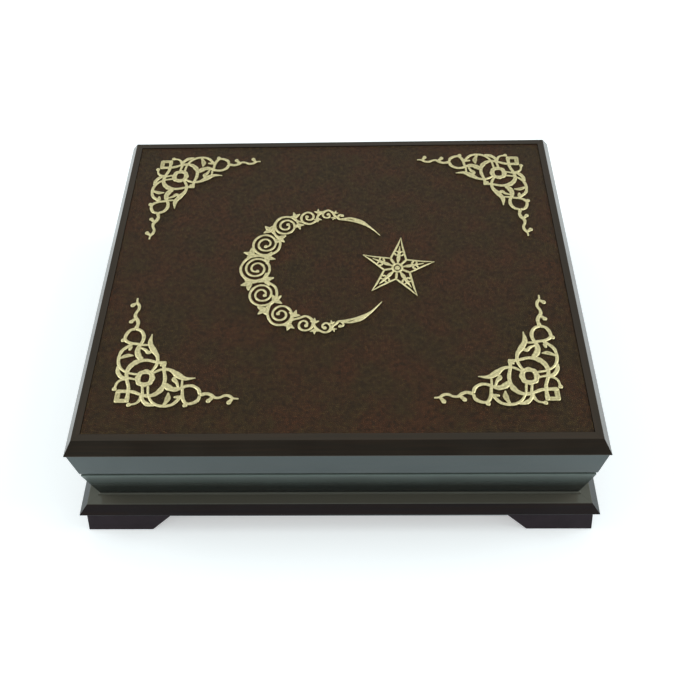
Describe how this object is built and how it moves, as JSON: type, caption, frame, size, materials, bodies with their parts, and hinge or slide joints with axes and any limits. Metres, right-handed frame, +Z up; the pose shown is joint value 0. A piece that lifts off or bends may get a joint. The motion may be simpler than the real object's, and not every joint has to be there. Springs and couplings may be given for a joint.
{
  "type": "quran box",
  "caption": "Low lidded book box of dark lacquered wood with a leather panel, gilt openwork mounts, bracket feet and a hinged lid.",
  "frame": {"origin": "on the ground under the middle of the box", "axes": "+X to the right along the long side, +Y to the back where the hinges are, +Z up"},
  "size_m": [0.3642, 0.3142, 0.1056],
  "materials": {
    "lacquered_wood": "dark gloss lacquer",
    "foot_wood": "dark satin stain",
    "board": "plain board",
    "leather": "fine pebbled leather",
    "velvet": "velvet lining",
    "gilt_metal": "pale gilt casting",
    "brass": "satin brass"
  },
  "bodies": {
    "root": {"plinth_front": "lacquered_wood", "base_wall_front": "lacquered_wood", "base_lining_front": "velvet", "foot_front_by_right": "foot_wood", "foot_front_by_left": "foot_wood", "plinth_right": "lacquered_wood", "base_wall_right": "lacquered_wood", "base_lining_right": "velvet", "foot_right_by_back": "foot_wood", "foot_right_by_front": "foot_wood", "plinth_back": "lacquered_wood", "base_wall_back": "lacquered_wood", "base_lining_back": "velvet", "foot_back_by_left": "foot_wood", "foot_back_by_right": "foot_wood", "plinth_left": "lacquered_wood", "base_wall_left": "lacquered_wood", "base_lining_left": "velvet", "foot_left_by_front": "foot_wood", "foot_left_by_back": "foot_wood", "bottom_panel": "board", "base_lining_floor": "velvet", "hinge_leaf_base_left": "brass", "hinge_pin_left": "brass", "hinge_screw_base_left_1": "brass", "hinge_screw_base_left_2": "brass", "hinge_leaf_base_right": "brass", "hinge_pin_right": "brass", "hinge_screw_base_right_1": "brass", "hinge_screw_base_right_2": "brass"},
    "lid": {"lid_frame_front": "lacquered_wood", "lid_wall_front": "lacquered_wood", "lid_lining_front": "velvet", "lid_frame_right": "lacquered_wood", "lid_wall_right": "lacquered_wood", "lid_lining_right": "velvet", "lid_frame_back": "lacquered_wood", "lid_wall_back": "lacquered_wood", "lid_lining_back": "velvet", "lid_frame_left": "lacquered_wood", "lid_wall_left": "lacquered_wood", "lid_lining_left": "velvet", "lid_board": "board", "lid_leather_panel": "leather", "lid_lining_top": "velvet", "corner_mount_front_left": "gilt_metal", "corner_mount_front_right": "gilt_metal", "corner_mount_back_left": "gilt_metal", "corner_mount_back_right": "gilt_metal", "crescent_mount": "gilt_metal", "star_mount": "gilt_metal", "hinge_leaf_lid_left": "brass", "hinge_screw_lid_left_1": "brass", "hinge_screw_lid_left_2": "brass", "hinge_leaf_lid_right": "brass", "hinge_screw_lid_right_1": "brass", "hinge_screw_lid_right_2": "brass"}
  },
  "joints": [
    {"name": "lid_hinge", "type": "hinge", "parent": "root", "child": "lid", "pos_m": [0, 0.1504, 0.06535], "axis": [-1, 0, 0], "range_deg": [0, 100]}
  ]
}
